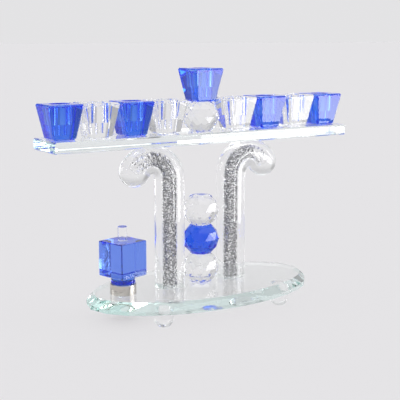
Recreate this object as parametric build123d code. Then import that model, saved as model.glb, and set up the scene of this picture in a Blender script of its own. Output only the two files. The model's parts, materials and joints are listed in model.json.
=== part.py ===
from build123d import *
import os
from math import asin, cos, pi, radians, sin, sqrt

# Crystal nine-light candelabrum, millimetres.
# X runs along the shelf, -Y is the front, +Z is up.
# The origin is on the floor, under the middle of the oval base.

# faceted balls: one size, flat above and below
BALL_RADIUS = 16.6
BALL_FLAT = 9.4
BALL_HEIGHT = 26.4
BALL_SIDES = 10
BALL_BELT = 6.9

# cups: square, wider at the rim, with a wide bore above a narrow candle bore
CUP_TOP = 30.8
CUP_FOOT = 20.2
CUP_HEIGHT = 29.0
CUP_GAP = 2.2
CUP_ARRIS = 1.3
CUP_CORNER = 1.5
CUP_BORE = 17.0
CUP_BORE_DEPTH = 16.0
CUP_FLOOR = 4.5
CANDLE_BORE = 7.8
CUPS_PER_ARM = 4
SHAMASH_CLEARANCE = 4.7

# shelf: straight glass bar that carries the cups
SHELF_END_MARGIN = 4.2
SHELF_DEPTH = 46.0
SHELF_THICKNESS = 9.7
SHELF_ARRIS = 1.2

# curled tubes: a straight leg, a hook outward over the top and a domed end
TUBE_RADIUS = 13.4
TUBE_BALL_GAP = 2.7
TUBE_RISE = 127.8
TUBE_EYE = 5.4
TUBE_CURL_SWEEP = 150.0
TUBE_SEAT_GRIND = 0.5
BORE_RADIUS = 4.6
BORE_CURL_SWEEP = 138.0
FILL_CLEARANCE = 0.1

# dreidel: cube on a pointed tip that stands in a metal ring
DREIDEL_TUBE_GAP = 13.1
RING_INNER = 17.2
RING_WALL = 2.9
RING_HEIGHT = 9.2
RING_ARRIS = 0.5
TIP_CLEARANCE = 0.35
TIP_COLLAR_INSET = 0.7
TIP_COLLAR_HEIGHT = 6.8
TIP_WAIST_INSET = 0.7
TIP_LAND = 0.75
TIP_FLOOR_GAP = 1.8
TIP_END_RADIUS = 1.6
CUBE_SIDE = 29.4
CUBE_HEIGHT = 30.7
CUBE_ARRIS = 0.6
CUBE_TURN = 15.3
STEM_RADIUS = 4.0
STEM_HEIGHT = 12.6
STEM_ARRIS = 0.4

# base: oval plate with ground flat facets all round
BASE_RING_MARGIN = 14.7
BASE_DEPTH = 124.0
BASE_THICKNESS = 10.0
BASE_GIRDLE = 3.5
BASE_BEVEL = 5.5
BASE_FACETS = 28

# feet: clear pads glued under the base, set in from its ends and edges
FOOT_DIAMETER = 16.0
FOOT_END_RADIUS = 4.3
FOOT_HEIGHT = 13.0
FOOT_SKIRT = 6.5
FOOT_INSET_X = 50.5
FOOT_INSET_Y = 24.0

# places along X that follow from the sizes above
TUBE_X = BALL_RADIUS + TUBE_BALL_GAP + TUBE_RADIUS
TUBE_CURL_RADIUS = TUBE_RADIUS + TUBE_EYE
FIRST_CUP_X = BALL_RADIUS + SHAMASH_CLEARANCE + CUP_TOP / 2
CUP_PITCH = CUP_TOP + CUP_GAP
LAST_CUP_X = FIRST_CUP_X + (CUPS_PER_ARM - 1) * CUP_PITCH
SHELF_LENGTH = 2 * (LAST_CUP_X + CUP_FOOT / 2 + SHELF_END_MARGIN)
DREIDEL_X = -(TUBE_X + TUBE_RADIUS + DREIDEL_TUBE_GAP + CUBE_SIDE / sqrt(2))
RING_OUTER = RING_INNER + 2 * RING_WALL
BASE_LENGTH = 2 * (RING_OUTER / 2 + BASE_RING_MARGIN + BASE_BEVEL - DREIDEL_X)

# levels that follow from the sizes above
BASE_BOTTOM = FOOT_HEIGHT
BASE_TOP = BASE_BOTTOM + BASE_THICKNESS
SHELF_BOTTOM = BASE_TOP + TUBE_RISE
SHELF_TOP = SHELF_BOTTOM + SHELF_THICKNESS
TUBE_CROWN = SHELF_BOTTOM + TUBE_SEAT_GRIND - TUBE_RADIUS
LEG_TOP = TUBE_CROWN - TUBE_CURL_RADIUS
RING_TOP = BASE_TOP + RING_HEIGHT
CUBE_BOTTOM = RING_TOP + TIP_COLLAR_HEIGHT
STEM_BOTTOM = CUBE_BOTTOM + CUBE_HEIGHT


def revolved(points):
    """Solid of revolution about Z from (radius, height) corners."""
    profile = make_face(Polyline([(r, 0, z) for r, z in points], close=True))
    return revolve(profile, Axis.Z)


def facet_outline(inset, level):
    """Closed polygon with equal facets, inset from the base's oval."""
    oval = Edge.make_ellipse(BASE_LENGTH / 2 - inset, BASE_DEPTH / 2 - inset)
    corners = [oval.position_at(i / BASE_FACETS) for i in range(BASE_FACETS)]
    return Wire.make_polygon([Vector(c.X, c.Y, level) for c in corners], close=True)


def base_plate():
    """Oval plate: an upright girdle below, flat ground facets sloping in above it."""
    girdle_top = BASE_BOTTOM + BASE_GIRDLE
    girdle = extrude(Face(facet_outline(0, BASE_BOTTOM)), BASE_GIRDLE)
    bevel = Solid.make_loft(
        [facet_outline(0, girdle_top), facet_outline(BASE_BEVEL, BASE_TOP)], ruled=True
    )
    return girdle + bevel


def foot(x, y):
    """Clear pad: an upright skirt under the base, bending in to a flat end."""
    radius = FOOT_DIAMETER / 2
    bend_top = FOOT_HEIGHT - FOOT_SKIRT
    bend_width = radius - FOOT_END_RADIUS
    bend_radius = (bend_width**2 + bend_top**2) / (2 * bend_width)
    half_turn = asin(bend_top / bend_radius) / 2
    bend_middle = (
        radius - bend_radius + bend_radius * cos(half_turn),
        0,
        bend_top - bend_radius * sin(half_turn),
    )
    outline = [
        Line((0, 0, 0), (FOOT_END_RADIUS, 0, 0)),
        ThreePointArc((FOOT_END_RADIUS, 0, 0), bend_middle, (radius, 0, bend_top)),
        Line((radius, 0, bend_top), (radius, 0, FOOT_HEIGHT)),
        Line((radius, 0, FOOT_HEIGHT), (0, 0, FOOT_HEIGHT)),
        Line((0, 0, FOOT_HEIGHT), (0, 0, 0)),
    ]
    return Pos(x, y, 0) * revolve(make_face(outline), Axis.Z)


def hook_path(side, sweep):
    """Centre line of a tube: up from the base, then round outward by the sweep."""
    leg_x = side * TUBE_X
    curl_x = leg_x + side * TUBE_CURL_RADIUS

    def on_curl(angle):
        turn = radians(angle)
        x = curl_x - side * TUBE_CURL_RADIUS * cos(turn)
        return (x, 0, LEG_TOP + TUBE_CURL_RADIUS * sin(turn))

    leg = Edge.make_line((leg_x, 0, BASE_TOP), on_curl(0))
    curl = Edge.make_three_point_arc(on_curl(0), on_curl(sweep / 2), on_curl(sweep))
    return leg, curl, on_curl(sweep)


def hook_solid(side, sweep_angle, radius):
    """Round bar along the hook's centre line, with a domed end."""
    leg, curl, end = hook_path(side, sweep_angle)
    straight = extrude(Plane(leg.position_at(0)) * Circle(radius), leg.length)
    bent = sweep(Plane(curl.position_at(0)) * Circle(radius), path=curl)
    return straight + bent + Pos(*end) * Sphere(radius)


def tube(side):
    """Thick glass tube: hook, less its bore and the flat ground on its crown."""
    solid = hook_solid(side, TUBE_CURL_SWEEP, TUBE_RADIUS)
    solid -= hook_solid(side, BORE_CURL_SWEEP, BORE_RADIUS)
    above = SHELF_BOTTOM + TUBE_RADIUS
    return solid - Pos(0, 0, above) * Box(SHELF_LENGTH, SHELF_DEPTH, 2 * TUBE_RADIUS)


def crystal_fill(side):
    """Crushed crystal that fills a tube's bore."""
    return hook_solid(side, BORE_CURL_SWEEP, BORE_RADIUS - FILL_CLEARANCE)


def ball(level):
    """Cut crystal ball: rings of corners on a sphere, joined by triangular facets."""
    half = BALL_HEIGHT / 2
    pole = half / sqrt(1 - (BALL_FLAT / BALL_RADIUS) ** 2)
    heights = [-half, -BALL_BELT, 0, BALL_BELT, half]
    rings = []
    for row, height in enumerate(heights):
        ring_radius = BALL_RADIUS * sqrt(1 - (height / pole) ** 2)
        shift = row % 2 / 2
        turns = [2 * pi * (i + shift) / BALL_SIDES for i in range(BALL_SIDES)]
        rings.append([Vector(ring_radius * cos(t), ring_radius * sin(t), height) for t in turns])
    faces = [Face(Wire.make_polygon(rings[0])), Face(Wire.make_polygon(rings[-1]))]
    for row in range(len(rings) - 1):
        low, high = rings[row], rings[row + 1]
        lead = row % 2
        for i in range(BALL_SIDES):
            j = (i + 1) % BALL_SIDES
            faces.append(Face(Wire.make_polygon([low[i], low[j], high[(i + lead) % BALL_SIDES]])))
            faces.append(Face(Wire.make_polygon([high[i], high[j], low[(j - lead) % BALL_SIDES]])))
    return Pos(0, 0, level + half) * Solid(Shell(faces))


def shelf():
    """Straight glass bar with polished arrises."""
    bar = Pos(0, 0, SHELF_BOTTOM + SHELF_THICKNESS / 2)
    bar = bar * Box(SHELF_LENGTH, SHELF_DEPTH, SHELF_THICKNESS)
    return chamfer(bar.edges(), SHELF_ARRIS)


def cup(x, level):
    """Square flared cup, arrised, with a wide bore above a narrow candle bore."""
    foot_square = Plane.XY * Rectangle(CUP_FOOT, CUP_FOOT)
    rim_square = Plane.XY.offset(CUP_HEIGHT) * Rectangle(CUP_TOP, CUP_TOP)
    body = loft([foot_square, rim_square])
    corners = body.edges().filter_by(lambda e: abs(e.tangent_at(0.5).Z) > 0.5)
    body = chamfer(corners, CUP_CORNER)
    ends = body.edges().filter_by(lambda e: abs(e.tangent_at(0.5).Z) < 0.1)
    body = chamfer(ends, CUP_ARRIS)
    wide_floor = CUP_HEIGHT - CUP_BORE_DEPTH
    upright = (Align.CENTER, Align.CENTER, Align.MIN)
    wide = Pos(0, 0, wide_floor) * Cylinder(CUP_BORE / 2, CUP_BORE_DEPTH, align=upright)
    narrow_depth = wide_floor - CUP_FLOOR
    narrow = Pos(0, 0, CUP_FLOOR) * Cylinder(CANDLE_BORE / 2, narrow_depth, align=upright)
    return Pos(x, 0, level) * (body - wide - narrow)


def dreidel_ring():
    """Metal ring on the base that holds the dreidel upright."""
    inner, outer = RING_INNER / 2, RING_OUTER / 2
    low, high = BASE_TOP, RING_TOP
    cut = RING_ARRIS
    corners = [
        (inner, low),
        (outer, low),
        (outer, high - cut),
        (outer - cut, high),
        (inner + cut, high),
        (inner, high - cut),
    ]
    return Pos(DREIDEL_X, 0, 0) * revolved(corners)


def dreidel_tip():
    """Turned crystal tip: a collar that rests on the ring, and a point inside it."""
    plug = RING_INNER / 2 - TIP_CLEARANCE
    collar = RING_OUTER / 2 - TIP_COLLAR_INSET
    point = BASE_TOP + TIP_FLOOR_GAP
    corners = [
        (0, point),
        (TIP_END_RADIUS, point),
        (plug, RING_TOP - TIP_LAND),
        (plug, RING_TOP),
        (collar, RING_TOP),
        (collar - TIP_WAIST_INSET, CUBE_BOTTOM),
        (0, CUBE_BOTTOM),
    ]
    return Pos(DREIDEL_X, 0, 0) * revolved(corners)


def dreidel_cube():
    """Cube with polished arrises, standing turned on its tip."""
    cube = chamfer(Box(CUBE_SIDE, CUBE_SIDE, CUBE_HEIGHT).edges(), CUBE_ARRIS)
    return Pos(DREIDEL_X, 0, CUBE_BOTTOM + CUBE_HEIGHT / 2) * Rot(0, 0, CUBE_TURN) * cube


def dreidel_stem():
    """Clear round stem on top of the cube."""
    top = STEM_BOTTOM + STEM_HEIGHT
    corners = [
        (0, STEM_BOTTOM),
        (STEM_RADIUS, STEM_BOTTOM),
        (STEM_RADIUS, top - STEM_ARRIS),
        (STEM_RADIUS - STEM_ARRIS, top),
        (0, top),
    ]
    return Pos(DREIDEL_X, 0, 0) * revolved(corners)


parts = {
    "base_plate": base_plate(),
    "shelf": shelf(),
    "column_ball_lower": ball(BASE_TOP),
    "column_ball_middle": ball(BASE_TOP + BALL_HEIGHT),
    "column_ball_upper": ball(BASE_TOP + 2 * BALL_HEIGHT),
    "shamash_ball": ball(SHELF_TOP),
    "shamash_cup": cup(0, SHELF_TOP + BALL_HEIGHT),
    "dreidel_ring": dreidel_ring(),
    "dreidel_tip": dreidel_tip(),
    "dreidel_cube": dreidel_cube(),
    "dreidel_stem": dreidel_stem(),
}

for side, side_name in ((-1, "left"), (1, "right")):
    parts[f"tube_{side_name}"] = tube(side)
    parts[f"crystal_fill_{side_name}"] = crystal_fill(side)
    for depth, depth_name in ((-1, "front"), (1, "rear")):
        foot_x = side * (BASE_LENGTH / 2 - FOOT_INSET_X)
        foot_y = depth * (BASE_DEPTH / 2 - FOOT_INSET_Y)
        parts[f"foot_{depth_name}_{side_name}"] = foot(foot_x, foot_y)
    for place in range(CUPS_PER_ARM):
        cup_x = side * (FIRST_CUP_X + place * CUP_PITCH)
        parts[f"cup_{side_name}_{place + 1}"] = cup(cup_x, SHELF_TOP)

os.makedirs("parts", exist_ok=True)
for name, solid in parts.items():
    export_step(solid, f"parts/{name}.step")
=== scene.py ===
"""Crystal nine-light candelabrum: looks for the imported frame, in metres, in the frame's own axes."""
import json
import random
from math import cos, pi, radians, sin

import bpy
from mathutils import Euler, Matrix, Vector

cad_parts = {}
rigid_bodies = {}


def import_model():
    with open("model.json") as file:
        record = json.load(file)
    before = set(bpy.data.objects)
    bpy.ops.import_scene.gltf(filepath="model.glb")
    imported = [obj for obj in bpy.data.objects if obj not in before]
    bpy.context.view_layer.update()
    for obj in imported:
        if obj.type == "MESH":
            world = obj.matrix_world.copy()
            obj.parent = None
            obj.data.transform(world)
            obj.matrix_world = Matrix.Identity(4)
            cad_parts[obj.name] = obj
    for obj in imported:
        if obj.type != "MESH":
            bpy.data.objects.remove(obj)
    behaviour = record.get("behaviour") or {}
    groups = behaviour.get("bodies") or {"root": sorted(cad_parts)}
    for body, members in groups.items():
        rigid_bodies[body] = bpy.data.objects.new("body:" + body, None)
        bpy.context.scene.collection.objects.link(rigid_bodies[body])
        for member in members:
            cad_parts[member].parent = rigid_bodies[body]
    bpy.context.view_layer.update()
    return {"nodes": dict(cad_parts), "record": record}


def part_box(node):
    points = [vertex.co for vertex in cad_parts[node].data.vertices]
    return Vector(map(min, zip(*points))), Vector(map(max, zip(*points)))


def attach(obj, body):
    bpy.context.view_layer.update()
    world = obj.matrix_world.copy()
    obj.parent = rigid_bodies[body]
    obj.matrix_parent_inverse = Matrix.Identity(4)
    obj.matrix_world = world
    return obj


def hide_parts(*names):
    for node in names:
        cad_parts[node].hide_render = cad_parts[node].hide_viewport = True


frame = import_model()
nodes = frame["nodes"]

MM = 0.001
BOND = 0.04 * MM          # how far glued glass sinks into its neighbour, so that no air is between them
RELIEF = 0.02 * MM        # depth of polishing ripples and turned lines
SEED = 7


# ---------------------------------------------------------------- node helpers
def new_material(name):
    """An empty node material, with its tree and a Principled shader wired to the output."""
    material = bpy.data.materials.new(name)
    material.use_nodes = True
    tree = material.node_tree
    tree.nodes.clear()
    output = tree.nodes.new("ShaderNodeOutputMaterial")
    shader = tree.nodes.new("ShaderNodeBsdfPrincipled")
    tree.links.new(shader.outputs["BSDF"], output.inputs["Surface"])
    return material, tree, shader, output


def noise(tree, scale, detail=2.0, roughness=0.5, stretch=(1, 1, 1)):
    """Noise in the frame's own metres, optionally stretched along an axis."""
    place = tree.nodes.new("ShaderNodeTexCoord")
    mapping = tree.nodes.new("ShaderNodeMapping")
    mapping.inputs["Scale"].default_value = stretch
    texture = tree.nodes.new("ShaderNodeTexNoise")
    texture.inputs["Scale"].default_value = scale
    texture.inputs["Detail"].default_value = detail
    texture.inputs["Roughness"].default_value = roughness
    tree.links.new(place.outputs["Object"], mapping.inputs["Vector"])
    tree.links.new(mapping.outputs["Vector"], texture.inputs["Vector"])
    return texture.outputs["Fac"]


def smudges(tree, scale):
    """Blotchy noise, as wiping and fingers leave it."""
    return noise(tree, scale, detail=4.0, roughness=0.6)


def remap(tree, value, low, high, to_low, to_high):
    """Linear remap of a value, clamped at both ends."""
    node = tree.nodes.new("ShaderNodeMapRange")
    tree.links.new(value, node.inputs["Value"])
    node.inputs["From Min"].default_value = low
    node.inputs["From Max"].default_value = high
    node.inputs["To Min"].default_value = to_low
    node.inputs["To Max"].default_value = to_high
    return node.outputs["Result"]


def bump(tree, shader, height, strength):
    """Puts a faint relief from a height value on the shader's normal."""
    node = tree.nodes.new("ShaderNodeBump")
    node.inputs["Strength"].default_value = strength
    node.inputs["Distance"].default_value = RELIEF
    tree.links.new(height, node.inputs["Height"])
    tree.links.new(node.outputs["Normal"], shader.inputs["Normal"])


# ---------------------------------------------------------------- materials
GLASS_SMUDGES = 45.0      # noise scales, in blotches or lines per metre
METAL_SMUDGES = 120.0
TURNED_LINES = 900.0
LINE_STRETCH = (0.02, 0.02, 1)      # long round the metal, fine up and down
LINE_DEPTH = 0.15         # share of the relief
SMUDGE_ON_GLASS = (0.45, 0.8)       # noise values: clean below the first, fully smudged past the second
SMUDGE_ON_METAL = (0.3, 0.8)
GLASS_HAZE = 0.02         # roughness of glass where it is smudged most

FLOAT_IOR = 1.52
TUBE_IOR = 1.50
CRYSTAL_IOR = 1.54

# Each tint is the share of red, green and blue that the glass spares. The density is the absorption per
# metre of depth of a colour that it doesn't spare at all.
BASE_TINT, BASE_DENSITY = (0.80, 0.957, 0.93), 7.0
SHELF_TINT, SHELF_DENSITY = (0.80, 0.94, 0.93), 6.0
TUBE_TINT, TUBE_DENSITY = (0.9, 0.97, 0.97), 2.0
CLEAR_TINT, CLEAR_DENSITY = (0.9, 0.95, 1.0), 2.0
BLUE_TINT, BLUE_DENSITY = (0.03, 0.463, 0.985), 108.0
DREIDEL_TINT, DREIDEL_DENSITY = (0.1, 0.42, 0.99), 62.0
NO_STAIN = (1, 1, 1)
BLUE_STAIN = (0.50, 0.70, 1.0)      # tints light at each face of the blue glass, besides its depth

CHIP_DARK = (0.06, 0.06, 0.065, 1)
CHIP_GREY = (0.34, 0.34, 0.355, 1)
CHIP_SILVER = (0.95, 0.95, 0.96, 1)
CHIP_METALLIC = 0.85
CHIP_ROUGHNESS = (0.25, 0.08)       # of the darkest and the brightest chips

CHROME_COLOUR = (0.60, 0.57, 0.53, 1)
CHROME_ROUGHNESS = (0.14, 0.26)     # clean and smudged
CHROME_BRUSHING = 0.6


def glass(name, ior, tint, density, stain=NO_STAIN, ripple=0.2, ripple_scale=60.0):
    """Polished glass: smudges in the roughness, a faint polishing ripple, and colour from its depth."""
    material, tree, shader, output = new_material(name)
    shader.inputs["Base Color"].default_value = (*stain, 1)
    shader.inputs["Transmission Weight"].default_value = 1.0
    shader.inputs["IOR"].default_value = ior
    rough = remap(tree, smudges(tree, GLASS_SMUDGES), *SMUDGE_ON_GLASS, 0.0, GLASS_HAZE)
    tree.links.new(rough, shader.inputs["Roughness"])
    bump(tree, shader, noise(tree, ripple_scale, detail=1.0), ripple)
    depth = tree.nodes.new("ShaderNodeVolumeAbsorption")
    depth.inputs["Color"].default_value = (*tint, 1)
    depth.inputs["Density"].default_value = density
    tree.links.new(depth.outputs["Volume"], output.inputs["Volume"])
    return material


def chip_material():
    """Crushed crystal: each chip its own silver, grey or dark tone, the brighter the smoother."""
    material, tree, shader, _ = new_material("crushed_crystal")
    geometry = tree.nodes.new("ShaderNodeNewGeometry")
    which_chip = geometry.outputs["Random Per Island"]
    tone = tree.nodes.new("ShaderNodeValToRGB")
    first, last = tone.color_ramp.elements
    first.color = CHIP_DARK
    last.color = CHIP_SILVER
    tone.color_ramp.elements.new(0.5).color = CHIP_GREY
    tree.links.new(which_chip, tone.inputs["Fac"])
    tree.links.new(tone.outputs["Color"], shader.inputs["Base Color"])
    shader.inputs["Metallic"].default_value = CHIP_METALLIC
    rough = remap(tree, which_chip, 0, 1, *CHIP_ROUGHNESS)
    tree.links.new(rough, shader.inputs["Roughness"])
    return material


def chrome_material():
    """Bright plating with faint turned lines and fingerprints."""
    material, tree, shader, _ = new_material("chrome")
    shader.inputs["Base Color"].default_value = CHROME_COLOUR
    shader.inputs["Metallic"].default_value = 1.0
    shader.inputs["Anisotropic"].default_value = CHROME_BRUSHING
    rough = remap(tree, smudges(tree, METAL_SMUDGES), *SMUDGE_ON_METAL, *CHROME_ROUGHNESS)
    tree.links.new(rough, shader.inputs["Roughness"])
    bump(tree, shader, noise(tree, TURNED_LINES, stretch=LINE_STRETCH), LINE_DEPTH)
    return material


materials = {
    "base_glass": glass("base_glass", FLOAT_IOR, BASE_TINT, BASE_DENSITY),
    "shelf_glass": glass("shelf_glass", FLOAT_IOR, SHELF_TINT, SHELF_DENSITY),
    "tube_glass": glass("tube_glass", TUBE_IOR, TUBE_TINT, TUBE_DENSITY, ripple=0.5, ripple_scale=35.0),
    "clear_crystal": glass("clear_crystal", CRYSTAL_IOR, CLEAR_TINT, CLEAR_DENSITY),
    "blue_crystal": glass("blue_crystal", CRYSTAL_IOR, BLUE_TINT, BLUE_DENSITY, BLUE_STAIN),
    "dreidel_crystal": glass("dreidel_crystal", CRYSTAL_IOR, DREIDEL_TINT, DREIDEL_DENSITY),
    "crushed_crystal": chip_material(),
    "chrome": chrome_material(),
}
SEE_THROUGH = [material for name, material in materials.items() if name not in ("crushed_crystal", "chrome")]
slot_of = {part["node"]: part["material_slot"] for part in frame["record"]["subparts"]}
body_of = {
    member: body_name
    for body_name, members in frame["record"]["behaviour"]["bodies"].items()
    for member in members
}


# ---------------------------------------------------------------- objects
def dress(obj, material):
    """Gives an object one material on every slot."""
    obj.data.materials.clear()
    obj.data.materials.append(material)


def add_object(name, mesh, material):
    """Puts a mesh in the scene as a new object with one material."""
    obj = bpy.data.objects.new(name, mesh)
    bpy.context.scene.collection.objects.link(obj)
    dress(obj, material)
    return obj


def rectangle(name, width, height):
    """Flat mesh in the XY plane, centred on its origin."""
    x, y = width / 2, height / 2
    mesh = bpy.data.meshes.new(name)
    mesh.from_pydata([(-x, -y, 0), (x, -y, 0), (x, y, 0), (-x, y, 0)], [], [(0, 1, 2, 3)])
    return mesh


# ---------------------------------------------------------------- glued glass
# How far the lowest face of each kind of piece sinks, and its highest face rises, into its neighbour.
STAYS = 0.0
GLUED = {
    "foot_": (STAYS, BOND),
    "tube_": (BOND, BOND),
    "column_": (BOND, STAYS),
    "cup_": (BOND, STAYS),
    "shamash_": (BOND, STAYS),
    "dreidel_ring": (BOND, STAYS),
    "dreidel_tip": (STAYS, BOND),
    "dreidel_stem": (BOND, STAYS),
}


def bonded_copy(name, sink, rise):
    """Copy of a CAD node whose lowest and highest faces reach a hair into their neighbours."""
    mesh = nodes[name].data.copy()
    mesh.name = name + "_bonded"
    low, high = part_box(name)
    for vertex in mesh.vertices:
        if abs(vertex.co.z - low.z) < BOND:
            vertex.co.z -= sink
        elif abs(vertex.co.z - high.z) < BOND:
            vertex.co.z += rise
    piece = add_object(name + "_bonded", mesh, materials[slot_of[name]])
    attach(piece, body_of[name])
    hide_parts(name)


# ---------------------------------------------------------------- crushed crystal
FILL_GAP = 0.1 * MM       # between the CAD fill and the wall of its bore
CURL_RADIUS = 18.8 * MM   # of the fill's centre line round the hook
BORE_SWEEP = 138.0        # degrees that the fill turns round the hook
LOOSE_FROM = 95.0         # degrees round the hook where the fill thins out
LOOSE_SHARE = 0.2         # of the chips that stay past that point
CHIPS_PER_MM = 30
CHIP_SIZE = (0.38 * MM, 0.80 * MM)
CHIP_SHELL = 1.6 * MM     # thickness of the layer of chips against the wall
CHIP_STRETCH = (0.55, 1.0)          # shares of a chip's size along each of its own axes
CHIP_SHEAR = 0.35         # how far a chip's corners stray sideways, as a share of its size
CHIP_FACES = [
    (1, 3, 5), (3, 0, 5), (0, 2, 5), (2, 1, 5),
    (3, 1, 4), (0, 3, 4), (2, 0, 4), (1, 2, 4),
]


def fill_line(name):
    """The fill's centre line: a function of the length along it, its whole length and the fill's radius."""
    low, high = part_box(name)
    radius = (high.y - low.y) / 2
    side = 1 if low.x > 0 else -1
    inner = low.x if side > 0 else high.x
    leg_x = inner + side * radius
    leg_top = high.z - radius - CURL_RADIUS
    leg = leg_top - low.z
    arc = radians(BORE_SWEEP) * CURL_RADIUS

    def at(length):
        """Point on the line and the direction of the line there."""
        if length < leg:
            return Vector((leg_x, 0, low.z + length)), Vector((0, 0, 1))
        turn = (length - leg) / CURL_RADIUS
        out, up = CURL_RADIUS * (1 - cos(turn)), CURL_RADIUS * sin(turn)
        return Vector((leg_x + side * out, 0, leg_top + up)), Vector((side * sin(turn), 0, cos(turn)))

    return at, leg + arc, radius


def chip(rng, centre, size):
    """Corners of one irregular splinter: an octahedron, stretched, sheared and turned."""
    turn = Euler([rng.uniform(0, 2 * pi) for _ in range(3)]).to_matrix()
    stretch = [size * rng.uniform(*CHIP_STRETCH) for _ in range(3)]
    corners = []
    for axis in range(3):
        for sign in (-1, 1):
            corner = Vector([rng.uniform(-CHIP_SHEAR, CHIP_SHEAR) for _ in range(3)])
            corner[axis] = sign
            corner = Vector([corner[i] * stretch[i] for i in range(3)])
            corners.append(centre + turn @ corner)
    return corners


def crystal_fill(name):
    """Loose chips packed against the wall of a bore, fewer of them at the end of the hook."""
    rng = random.Random(SEED + len(name))
    at, length, radius = fill_line(name)
    loose = length - radians(BORE_SWEEP - LOOSE_FROM) * CURL_RADIUS
    chips = round(length / MM * CHIPS_PER_MM)
    corners, faces = [], []
    floor_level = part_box(name)[0].z
    sideways = Vector((0, 1, 0))
    for index in range(chips):
        size = rng.uniform(*CHIP_SIZE)
        place = (index + rng.random()) / chips * length
        if place > loose and rng.random() > LOOSE_SHARE:
            continue
        point, along = at(place)
        across = along.cross(sideways)
        turn = rng.uniform(0, 2 * pi)
        reach = radius - size - rng.random() ** 2 * CHIP_SHELL
        centre = point + (across * cos(turn) + sideways * sin(turn)) * reach
        centre.z = max(centre.z, floor_level + size)
        first = len(corners)
        corners += chip(rng, centre, size)
        faces += [tuple(first + i for i in face) for face in CHIP_FACES]
    mesh = bpy.data.meshes.new(name + "_chips")
    mesh.from_pydata(corners, [], faces)
    piece = add_object(name + "_chips", mesh, materials["crushed_crystal"])
    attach(piece, body_of[name])
    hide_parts(name)


def resin_core(name):
    """Clear resin round the chips, which wets the wall of the bore."""
    mesh = nodes[name].data.copy()
    mesh.name = name + "_resin"
    for vertex in mesh.vertices:
        vertex.co += vertex.normal * (FILL_GAP + BOND)
    piece = add_object(name + "_resin", mesh, materials["tube_glass"])
    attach(piece, body_of[name])
    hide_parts(name)


for node_name, node in nodes.items():
    dress(node, materials[slot_of[node_name]])
dress(nodes["dreidel_cube"], materials["dreidel_crystal"])

for node_name in nodes:
    for kind, (sink, rise) in GLUED.items():
        if node_name.startswith(kind):
            bonded_copy(node_name, sink, rise)
    if node_name.startswith("crystal_fill_"):
        crystal_fill(node_name)
        resin_core(node_name)

# Light reaches the floor through clear glass as if the glass were not there, so the floor stays pale.
for thing in bpy.context.scene.objects:
    if thing.type == "MESH" and thing.data.materials[0] in SEE_THROUGH:
        thing.visible_shadow = False
        thing.visible_diffuse = False


# ---------------------------------------------------------------- stage
FLOOR_SIZE = 60.0
FLOOR_COLOUR = (0.805, 0.80, 0.805, 1)
FLOOR_ROUGHNESS = 0.7

SKY_COLOUR = (0.99, 0.985, 1.0, 1)
HORIZON_LIGHT = 0.78      # strength of the sky up to HORIZON_TOP
HORIZON_TOP = 0.12        # heights are the upward part of a direction of length 1
DIM_LIGHT = 0.62          # strength of the sky from DIM_FROM up
DIM_FROM = 0.35
# Soft round patches on the sky: direction, the angles in degrees within which a patch is full and past
# which it is gone, and its strength. Those below zero dim the sky.
SKY_PATCHES = [
    ((0, 0, 1), 20, 45, 1.1),                       # overhead
    ((0.894, -0.325, 0.309), 12, 28, 0.45),         # to the right
    ((0.231, -0.861, 0.454), 8, 18, -0.35),         # in front
    ((-0.251, 0.937, 0.242), 8, 20, -0.28),         # behind
]

# Lit panels: name, place, the point that the panel faces, width and height, and radiance.
PANELS = [
    ("low_panel", (0.285, -0.29, 0.075), (0.06, -0.02, 0.075), (0.22, 0.15), 5.5),
    ("low_panel_end", (0.320, -0.257, 0.075), (0.10, 0.03, 0.075), (0.10, 0.15), 7.0),
    ("right_window", (2.32, -0.94, 0.65), (0, 0, 0.12), (0.2, 0.9), 8.0),
    ("left_window", (-1.92, 1.61, 0.65), (0, 0, 0.12), (0.2, 0.9), 8.0),
]

CAMERA_X, CAMERA_Y = -0.44799, -0.70462
CAMERA_OVER_SHELF = 0.08283
CAMERA_DOWN = 9.895       # degrees below level
CAMERA_TURN = 32.405      # degrees from +Y towards +X
LENS_MM, SENSOR_MM = 84.434, 36.0
NEAR, FAR = 0.05, 60.0

ALL_BOUNCES = 40          # a ray along the row of cups passes dozens of faces
GLASS_BOUNCES = 32


def floor():
    """Plain pale matt floor."""
    material, _, shader, _ = new_material("floor")
    shader.inputs["Base Color"].default_value = FLOOR_COLOUR
    shader.inputs["Roughness"].default_value = FLOOR_ROUGHNESS
    shader.inputs["Specular IOR Level"].default_value = 0.0
    plane = add_object("floor", rectangle("floor", FLOOR_SIZE, FLOOR_SIZE), material)


def glow(tree, direction, towards, narrow, wide, strength):
    """Soft round patch of light on the sky: full within the narrow angle, none past the wide one."""
    dot = tree.nodes.new("ShaderNodeVectorMath")
    dot.operation = "DOT_PRODUCT"
    tree.links.new(direction, dot.inputs[0])
    dot.inputs[1].default_value = Vector(towards).normalized()
    return remap(tree, dot.outputs["Value"], cos(radians(wide)), cos(radians(narrow)), 0.0, strength)


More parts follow.
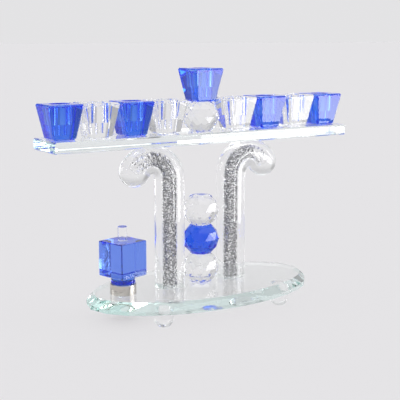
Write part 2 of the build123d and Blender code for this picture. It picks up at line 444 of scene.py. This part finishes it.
def world():
    """A pale horizon all round, a dimmer room above it, and large soft lights."""
    sky = bpy.data.worlds.new("studio")
    bpy.context.scene.world = sky
    sky.use_nodes = True
    tree = sky.node_tree
    tree.nodes.clear()
    place = tree.nodes.new("ShaderNodeTexCoord")
    direction = place.outputs["Generated"]
    split = tree.nodes.new("ShaderNodeSeparateXYZ")
    tree.links.new(direction, split.inputs["Vector"])
    light = remap(tree, split.outputs["Z"], HORIZON_TOP, DIM_FROM, HORIZON_LIGHT, DIM_LIGHT)
    for patch in SKY_PATCHES:
        add = tree.nodes.new("ShaderNodeMath")
        add.operation = "ADD"
        tree.links.new(light, add.inputs[0])
        tree.links.new(glow(tree, direction, *patch), add.inputs[1])
        light = add.outputs["Value"]
    background = tree.nodes.new("ShaderNodeBackground")
    background.inputs["Color"].default_value = SKY_COLOUR
    output = tree.nodes.new("ShaderNodeOutputWorld")
    tree.links.new(light, background.inputs["Strength"])
    tree.links.new(background.outputs["Background"], output.inputs["Surface"])


def softbox(name, place, target, size, radiance):
    """A lit panel aimed at a point: it shows in polished faces, and the camera doesn't see it."""
    material, _, shader, _ = new_material(name)
    shader.inputs["Base Color"].default_value = (0, 0, 0, 1)
    shader.inputs["Emission Color"].default_value = (1, 1, 1, 1)
    shader.inputs["Emission Strength"].default_value = radiance
    panel = add_object(name, rectangle(name, *size), material)
    panel.location = place
    panel.rotation_mode = "QUATERNION"
    panel.rotation_quaternion = (Vector(target) - Vector(place)).to_track_quat("-Z", "Y")
    panel.visible_camera = False
    panel.visible_diffuse = False
    panel.visible_shadow = False


def camera():
    """The view of the object: from the front left, a little above it."""
    data = bpy.data.cameras.new("camera")
    data.lens = LENS_MM
    data.sensor_width = SENSOR_MM
    data.clip_start, data.clip_end = NEAR, FAR
    obj = bpy.data.objects.new("camera", data)
    shelf_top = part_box("shelf")[1].z
    obj.location = (CAMERA_X, CAMERA_Y, shelf_top + CAMERA_OVER_SHELF)
    obj.rotation_euler = (radians(90 - CAMERA_DOWN), 0, radians(-CAMERA_TURN))
    bpy.context.scene.collection.objects.link(obj)
    bpy.context.scene.camera = obj


floor()
world()
for panel_values in PANELS:
    softbox(*panel_values)
camera()
bpy.context.scene.view_settings.view_transform = "Standard"
bounces = bpy.context.scene.cycles
bounces.max_bounces = ALL_BOUNCES
bounces.glossy_bounces = GLASS_BOUNCES
bounces.transmission_bounces = GLASS_BOUNCES
